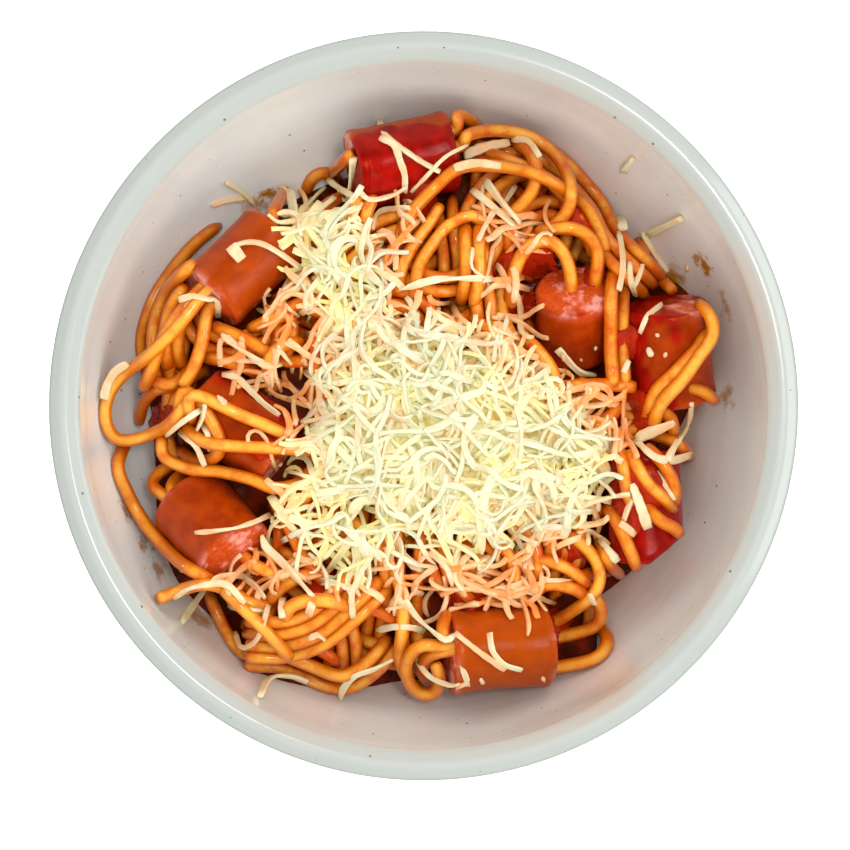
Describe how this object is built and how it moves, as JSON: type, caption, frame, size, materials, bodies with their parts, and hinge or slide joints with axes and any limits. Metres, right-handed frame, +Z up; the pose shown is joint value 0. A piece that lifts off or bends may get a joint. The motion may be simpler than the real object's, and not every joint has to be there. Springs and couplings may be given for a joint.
{
  "type": "bowl of spaghetti with sausage",
  "caption": "Round glazed stoneware bowl of spaghetti threaded through pieces of frankfurter in tomato sauce, under a heap of grated cheese.",
  "frame": {"origin": "middle of the underside of the foot, on the surface that the bowl stands on", "axes": "+Z up out of the bowl, +X to the right and +Y away as seen by a diner"},
  "size_m": [0.16, 0.16, 0.06],
  "materials": {
    "stoneware": "glossy off-white glaze with fine dark speckles",
    "pasta": "moist, coated with thin tomato sauce",
    "sausage": "glossy skin with a smoother pink cut face",
    "cheese": "matt, waxy, pale yellow"
  },
  "bodies": {
    "root": {"bowl": "stoneware", "spaghetti": "pasta", "grated_cheese": "cheese", "sausage_top": "sausage", "sausage_upper_left": "sausage", "sausage_upright": "sausage", "sausage_far_right": "sausage", "sausage_left_middle": "sausage", "sausage_lower_left": "sausage", "sausage_bottom": "sausage", "sausage_lower_right": "sausage"}
  },
  "joints": []
}
